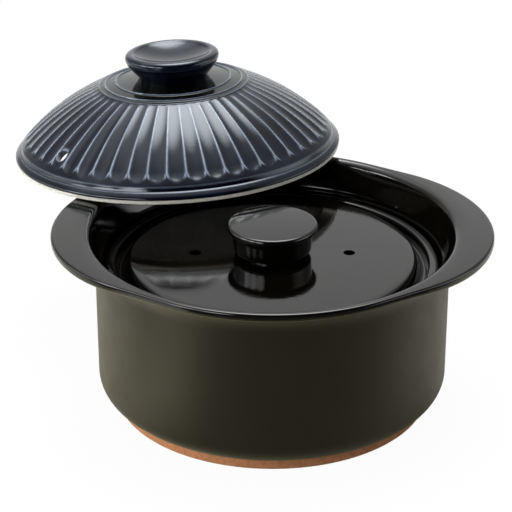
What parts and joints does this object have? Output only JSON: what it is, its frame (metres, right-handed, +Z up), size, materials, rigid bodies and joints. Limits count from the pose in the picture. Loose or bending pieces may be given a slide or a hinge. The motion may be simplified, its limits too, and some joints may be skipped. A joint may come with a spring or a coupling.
{
  "type": "rice donabe with two lids",
  "caption": "Round deep clay pot with ear handles, a flat inner lid with a button knob and a fluted dome lid with a dished knob, shown lifted off",
  "frame": {"origin": "centre of the face that the pot stands on", "axes": "+Z up along the pot's axis, ears along X, the outer lid shown off towards -X and +Y"},
  "size_m": [0.2773, 0.3233, 0.1634],
  "materials": {
    "dark_glaze": "satin",
    "black_glaze": "gloss",
    "blue_glaze": "gloss"
  },
  "bodies": {
    "pot": {"pot": "dark_glaze"},
    "inner_lid": {"inner_lid": "black_glaze", "inner_lid_knob": "black_glaze"},
    "outer_lid": {"outer_lid": "blue_glaze", "outer_lid_knob": "blue_glaze"}
  },
  "joints": [
    {"name": "outer_lid_lift", "type": "slide", "parent": "pot", "child": "outer_lid", "axis": [0, 0, 1], "range_m": [0, 0.12]},
    {"name": "inner_lid_lift", "type": "slide", "parent": "pot", "child": "inner_lid", "axis": [0, 0, 1], "range_m": [0, 0.06]}
  ],
  "couplings": [
    {"joint": "inner_lid_lift", "follows": "outer_lid_lift", "ratio": 0.5}
  ]
}
